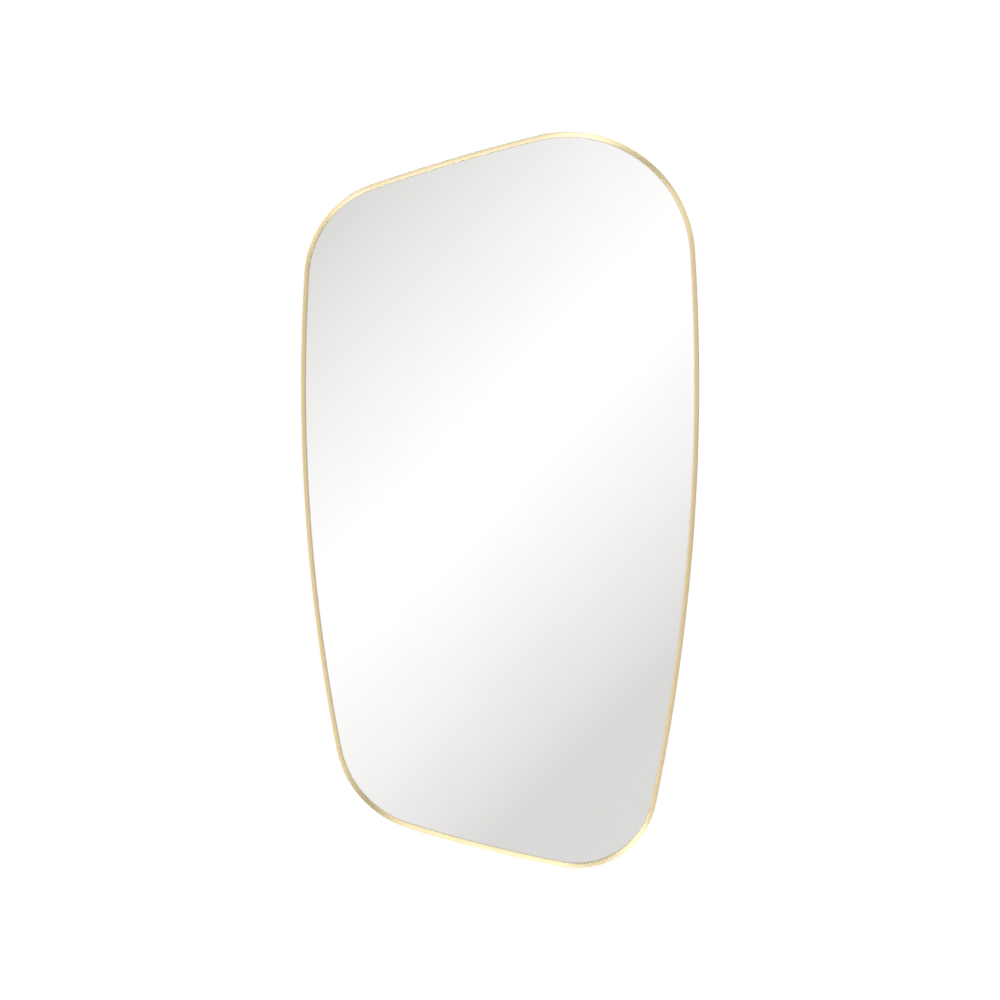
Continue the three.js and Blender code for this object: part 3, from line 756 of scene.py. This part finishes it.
# Hanger straps: sheet steel folded double round the ring's bar
strap = {
    "sheet": 1.15,
    "gap": 0.1,  # between the two leaves
    "length": 40.0,
    "halfWidth": 9.0,
    "eye": 3.05,  # outer radius
    "fold": 1.2,  # radius of the bend from the eye to the outer leaf
    "edge": 0.2,
    "tailSteps": 10,
    "eyeSteps": 28,
    "foldSteps": 8,
    "innerRows": (-20, -10, -3),  # levels along the straight of each leaf
    "outerRows": (-10, -20),
}
strapNodes = ["hanger_strap_left", "hanger_strap_right"]
hangers = [middleOf(name)[0] for name in strapNodes]
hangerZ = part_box(strapNodes[0])[0].z / mm + strap["length"]
strapFront = boardRear + drawnGap


def strapPattern():  # X away from the board, Y up, Z along the bar
    half, eye, fold = strap["sheet"] / 2, strap["eye"], strap["fold"]
    radius = eye - half
    outerX = 3 * half + strap["gap"]
    foldX = outerX + fold
    foldY = -math.sqrt((radius + fold) ** 2 - (foldX - eye) ** 2)
    tailTurn = math.pi / (2 * strap["tailSteps"])
    tail = [-strap["length"] + strap["halfWidth"] * (1 - math.cos(tailTurn * i))
            for i in range(strap["tailSteps"] + 1)]
    path = [Vector((half, y)) for y in (*tail, *strap["innerRows"])]
    leave = math.atan2(foldY, foldX - eye)
    for i in range(strap["eyeSteps"] + 1):
        angle = math.pi + (leave - math.pi) * i / strap["eyeSteps"]
        path.append(Vector((eye + radius * math.cos(angle), radius * math.sin(angle))))
    for i in range(1, strap["foldSteps"] + 1):
        angle = leave + math.pi - leave * i / strap["foldSteps"]
        path.append(Vector((foldX + fold * math.cos(angle), foldY + fold * math.sin(angle))))
    path += [Vector((outerX, y)) for y in (*strap["outerRows"], *reversed(tail))]

    def widthAt(point):
        below = max(0.0, -strap["length"] + strap["halfWidth"] - point.y)
        return math.sqrt(max(0.0, strap["halfWidth"] ** 2 - below ** 2))

    return bentSheet("strapPattern", path, widthAt, strap["sheet"], strap["edge"])


strapTurn = Matrix(((0, 0, 1), (1, 0, 0), (0, 1, 0)))  # the pattern's X, Y and Z become Y, Z and X
strapPlaces = [(Vector((x, strapFront, hangerZ)), strapTurn) for x in hangers]
hangerStraps = copiedPiece("hangerStraps", strapPattern(), strapPlaces, zincSteel, sheetCrease)
putOn(hangerStraps, "root", [zincSteel], strapNodes)
hangerScrewNames = [side + "_" + end for side in ("left", "right") for end in ("upper", "lower")]
woodScrews("hangerScrews", ["hanger_screw_" + name for name in hangerScrewNames])

# D rings: bent wire, drawn as they stand when the mirror hangs
ring = {
    "wire": 1.5,  # radius
    "halfWidth": 13.5,
    "reach": 20.0,
    "bend": 3.5,
    "lean": 4.445,  # degrees, towards the board
    "sides": 20,
}


def ringPath():
    half, bend = ring["halfWidth"], ring["bend"]
    bends = [  # centre, radius, first and last angle in degrees, steps
        (half - bend, bend, bend, -90, 0, 8),
        (0, ring["reach"] - half, half, 0, 180, 36),
        (bend - half, bend, bend, 180, 270, 8),
    ]
    path = []
    for x, z, radius, begin, end, steps in bends:
        for i in range(steps + 1):
            angle = math.radians(begin + (end - begin) * i / steps)
            path.append(Vector((x + radius * math.cos(angle), z + radius * math.sin(angle))))
    return path


wireAngles = [math.tau * i / ring["sides"] for i in range(ring["sides"])]
wireSection = [(ring["wire"] * math.cos(angle), ring["wire"] * math.sin(angle)) for angle in wireAngles]
for side, x in zip(("Left", "Right"), hangers):
    piece = sweptPiece("hangerRing" + side, ringPath(), True, wireSection, zincSteel)
    place = Matrix.Translation(Vector((x, strapFront + strap["eye"], hangerZ)) * mm)
    piece.data.transform(place @ Matrix.Rotation(math.radians(ring["lean"]), 4, "X"))
    putOn(piece, "ring_" + side.lower(), [zincSteel], ["hanger_ring_" + side.lower()])
print("straps, rings and their screws ready")

# Grub screws that jam the splice plate in the channel
grub = {
    "radius": 2.0,
    "core": 1.65,
    "pitch": 0.7,
    "ridge": 0.4,  # as on the wood screws
    "rowsPerTurn": 6,
    "length": 5.0,
    "cup": [(leastReach, 0.5), (0.75, 0.02), (1.05, 0), (1.6, 0.6)],  # radius and level at its point
    "threadFrom": 0.75,
    "threadShort": 0.35,  # of the other end
    "rim": 1.5,
    "socket": 1.0,
    "socketFlare": 0.12,
    "flareDepth": 0.1,
    "socketDepth": 1.6,
    "floorDepth": 1.9,
    "sides": 36,
    "count": 4,
    "spacing": 24.0,
    "inset": 1.8,  # of its point, from the frame's outer face
}


def grubRadius(angle, radius, y, kind):
    if kind == "socket":  # six-sided
        return radius / math.cos((angle % (math.pi / 3)) - math.pi / 6)
    return radius + (grub["radius"] - grub["core"]) * threadRidge(grub, angle, y)


def grubPattern():
    length, socket = grub["length"], grub["socket"]
    threaded = length - grub["threadFrom"] - grub["threadShort"]
    count = math.ceil(threaded / grub["pitch"] * grub["rowsPerTurn"])
    rows = list(grub["cup"])
    rows += [(grub["core"], grub["threadFrom"] + threaded * i / count, "thread") for i in range(count + 1)]
    rows += [(grub["rim"], length), (socket + grub["socketFlare"], length)]
    rows += [(socket, length - depth, "socket") for depth in (grub["flareDepth"], grub["socketDepth"])]
    rows.append((leastReach, length - grub["floorDepth"]))
    return ringMesh("grubPattern", turnedRings(rows, grub["sides"], grubRadius))


grubPlaces = []
channelMiddle = (channelFront + channelRear) / 2
for i in range(grub["count"]):
    share = 0.5 + (i - (grub["count"] - 1) / 2) * grub["spacing"] / arcLength("bottom")
    point, turn = placeOnFrame("bottom", share, grub["inset"], channelMiddle)
    grubPlaces.append((point, turn @ Matrix.Rotation(-math.pi / 2, 3, "Z")))
grubNodes = ["splice_grub_screw_" + str(i + 1) for i in range(grub["count"])]
grubScrews = copiedPiece("grubScrews", grubPattern(), grubPlaces, blackSteel)
putOn(grubScrews, "root", [blackSteel], grubNodes)

# Wall bumpers: moulded rubber feet stuck on the rear flange
bumper = {
    "radius": 4.0,
    "flat": 2.8,  # radius of the face that meets the wall
    "height": 1.5,
    "foot": 0.12,
    "dome": 0.6,  # share of the height
    "domeSteps": 7,
    "dimple": [(1.54, 0), (1.4, -0.12)],  # radius and level of its rim
    "dimpleDepth": 0.16,
    "sides": 40,
    "crease": 50,
    "corners": ["bottom_right", "top_right", "top_left", "bottom_left"],
}


def bumperPattern():  # the face that meets the wall is at y = 0
    radius, flat, height, foot = bumper["radius"], bumper["flat"], bumper["height"], bumper["foot"]
    dome = height * bumper["dome"]
    rows = [(leastReach, -height), (radius - foot, -height), (radius, foot - height), (radius, -dome)]
    for i in range(1, bumper["domeSteps"] + 1):
        bend = math.pi / 2 * i / bumper["domeSteps"]
        rows.append((flat + (radius - flat) * math.cos(bend), -dome * (1 - math.sin(bend))))
    rows += [*bumper["dimple"], (leastReach, -bumper["dimpleDepth"])]
    return ringMesh("bumperPattern", turnedRings(rows, bumper["sides"]), bumper["crease"])


bumperNodes = ["wall_bumper_" + corner for corner in bumper["corners"]]
bumperPlaces = []
for name in bumperNodes:
    x, z = middleOf(name)
    bumperPlaces.append((Vector((x, levels(name)[1], z)), Matrix.Identity(3)))
wallBumpers = copiedPiece("wallBumpers", bumperPattern(), bumperPlaces, blackRubber, bumper["crease"])
putOn(wallBumpers, "root", [blackRubber], bumperNodes)
print("grub screws and bumpers ready")

# Studio: a white room. The glass shows a pale backdrop that is brightest along one diagonal, and bare metal
# shows soft panels that stand in a ring about the camera.
studio = {
    "bandCentre": -0.0202,  # sideways less upward slope of the line where the backdrop is brightest
    "bandGain": 1.065,
    "band": [(0.007, "ffffff"), (0.023, "fdfdfd"), (0.067, "f2f2f2"), (0.114, "e3e3e2"), (0.142, "d8d8d7"),
             (0.3, "dcdcdb"), (0.6, "ebebea"), (1.0, "f8f8f7")],  # slope away from that line
    "leastDepth": 0.02,  # keeps the slopes of sideways directions finite
    "ringGain": 4.5,
    "rearGain": 2.0,  # the same panels, but weaker and without tint, for what faces the wall
    "turnover": (-0.2, 0.2),  # between these parts of a direction along Y the one goes over into the other
    "ring": [0.03, 0.13, 0.20, 0.04, 0.33, 0.30, 0.03, 0.03, 0.03, 0.34, 0.55, 0.30,  # from right by top
             0.35, 0.40, 0.47, 0.03, 0.03, 0.82, 1.20, 0.46, 0.98, 0.60, 0.04, 0.09],  # from left by bottom
    "ringTint": (-0.05, 0.02, 0.36),  # added to red, green and blue of a bright panel, cooler than a dim one
    "ringStart": (0.155, 0.26),  # how far from straight behind the camera the panels begin, as a sine
    "fill": 0.72,
    "lamps": {"key": ((-2.2, -2.6, 3.0), 0.75), "back": ((2.4, 2.8, 2.6), 0.6)},
    "lampSpread": 25,  # degrees
}


def buildWorld():
    world = bpy.data.worlds.new("studio")
    bpy.context.scene.world = world
    world.use_nodes = True
    tree = world.node_tree
    tree.nodes.clear()
    direction = addNode(tree, "ShaderNodeTexCoord").outputs["Generated"]
    x, y, z = addNode(tree, "ShaderNodeSeparateXYZ", links={"Vector": direction}).outputs
    ahead = addNode(tree, "ShaderNodeMath", {"operation": "ABSOLUTE"}, {0: y}).outputs[0]
    depth = addNode(tree, "ShaderNodeMath", {"operation": "MAXIMUM", 1: studio["leastDepth"]},
                    {0: ahead}).outputs[0]
    across = addNode(tree, "ShaderNodeMath", {"operation": "SUBTRACT"}, {0: x, 1: z}).outputs[0]
    slope = addNode(tree, "ShaderNodeMath", {"operation": "DIVIDE"}, {0: across, 1: depth}).outputs[0]
    offset = addNode(tree, "ShaderNodeMath", {"operation": "SUBTRACT", 1: studio["bandCentre"]},
                     {0: slope}).outputs[0]
    apart = addNode(tree, "ShaderNodeMath", {"operation": "ABSOLUTE"}, {0: offset}).outputs[0]
    band = fillRamp(addNode(tree, "ShaderNodeValToRGB", links={"Fac": apart}),
                    [(at, hexColour(code)) for at, code in studio["band"]])
    bandLight = addNode(tree, "ShaderNodeBackground", {"Strength": studio["bandGain"]},
                        {"Color": band}).outputs[0]

    angle = addNode(tree, "ShaderNodeMath", {"operation": "ARCTAN2"}, {0: z, 1: x}).outputs[0]
    turns = addNode(tree, "ShaderNodeMath", {"operation": "DIVIDE", 1: math.tau}, {0: angle}).outputs[0]
    part = addNode(tree, "ShaderNodeMath", {"operation": "FLOORED_MODULO", 1: 1.0}, {0: turns}).outputs[0]
    stops = []
    for i, grey in enumerate(studio["ring"] + studio["ring"][:1]):
        colour = [grey * (1 + tint * grey) for tint in studio["ringTint"]]
        stops.append((i / len(studio["ring"]), (*colour, 1)))
    panels = fillRamp(addNode(tree, "ShaderNodeValToRGB", links={"Fac": part}), stops, True)
    begin, end = studio["turnover"]
    rearward = addNode(tree, "ShaderNodeMapRange", {
        "interpolation_type": "SMOOTHSTEP", "From Min": begin, "From Max": end}, {"Value": y}).outputs[0]
    plain = addNode(tree, "ShaderNodeRGBToBW", links={"Color": panels}).outputs[0]
    shade = addNode(tree, "ShaderNodeMix", {"data_type": "RGBA"},
                    {0: rearward, 6: panels, 7: plain}).outputs[2]
    gain = addNode(tree, "ShaderNodeMapRange", {
        "To Min": studio["ringGain"], "To Max": studio["rearGain"]}, {"Value": rearward}).outputs[0]
    panelLight = addNode(tree, "ShaderNodeBackground", links={"Color": shade, "Strength": gain}).outputs[0]
    away = addNode(tree, "ShaderNodeMath", {"operation": "ARCCOSINE"}, {0: ahead}).outputs[0]
    sine = addNode(tree, "ShaderNodeMath", {"operation": "SINE"}, {0: away}).outputs[0]
    begin, end = studio["ringStart"]
    outside = addNode(tree, "ShaderNodeMapRange", {
        "interpolation_type": "SMOOTHSTEP", "From Min": begin, "From Max": end}, {"Value": sine}).outputs[0]
    metalLight = addNode(tree, "ShaderNodeMixShader",
                         links={0: outside, 1: bandLight, 2: panelLight}).outputs[0]

    rays = addNode(tree, "ShaderNodeLightPath").outputs
    white = (1, 1, 1, 1)
    light = addNode(tree, "ShaderNodeBackground", {"Color": white, "Strength": studio["fill"]}).outputs[0]
    seen = addNode(tree, "ShaderNodeBackground", {"Color": white, "Strength": 1.0}).outputs[0]
    answers = {"Is Glossy Ray": metalLight, "Is Transmission Ray": bandLight, "Is Camera Ray": seen}
    for ray, shown in answers.items():
        light = addNode(tree, "ShaderNodeMixShader", links={0: rays[ray], 1: light, 2: shown}).outputs[0]
    addNode(tree, "ShaderNodeOutputWorld", links={"Surface": light})


def buildLamps():
    for name, (place, strength) in studio["lamps"].items():
        data = bpy.data.lights.new(name + "Lamp", "SUN")
        data.energy = strength
        data.angle = math.radians(studio["lampSpread"])
        lamp = objectFrom(name + "Lamp", data)
        lamp.location = place
        lamp.rotation_euler = (-Vector(place)).to_track_quat("-Z", "Y").to_euler()
        lamp.visible_glossy = False
        lamp.visible_transmission = False


floor = {
    "height": -1000.0,
    "halfWidth": 1600.0,
    "front": -700.0,
    "rear": 1700.0,
    "corner": 260.0,
    "cornerSteps": 24,
    "thick": 12.0,
}


def paleFloor():  # painted board, an even warm white
    paint = {"colour": "f3f2ef", "shade": "efeeea", "roughness": (0.6, 0.75), "bump": 0.05, "depth": 0.2}
    material = grained("paintedFloor", {}, (25, 25, 25), paint)
    half, front, rear = floor["halfWidth"], floor["front"], floor["rear"]
    corners = [(-half, front), (half, front), (half, rear), (-half, rear)]
    edge = filleted([(x, y, floor["corner"]) for x, y in corners], floor["cornerSteps"])
    rings = [[(p.x, p.y, floor["height"] - down) for p in edge] for down in (floor["thick"], 0)]
    piece = ringMesh("paleFloor", rings)
    piece.data.materials.append(material)


camera = {
    "lens": 100.0,
    "sensor": 36.0,
    "imageSize": 1000,
    "pixelsPerMm": 0.7361,
    "right": -0.1,  # from the outline's middle to the middle of the view
    "up": -0.1,
}


def buildCamera():
    data = bpy.data.cameras.new("camera")
    data.lens = camera["lens"]
    data.sensor_width = camera["sensor"]
    distance = camera["imageSize"] * camera["lens"] / (camera["sensor"] * camera["pixelsPerMm"])
    made = objectFrom("camera", data)
    made.location = (camera["right"] * mm, (frontY - distance) * mm, camera["up"] * mm)
    made.rotation_euler = (math.pi / 2, 0, 0)
    bpy.context.scene.camera = made


buildWorld()
buildLamps()
paleFloor()
buildCamera()
bpy.context.scene.view_settings.view_transform = "Standard"
print("studio and camera ready")
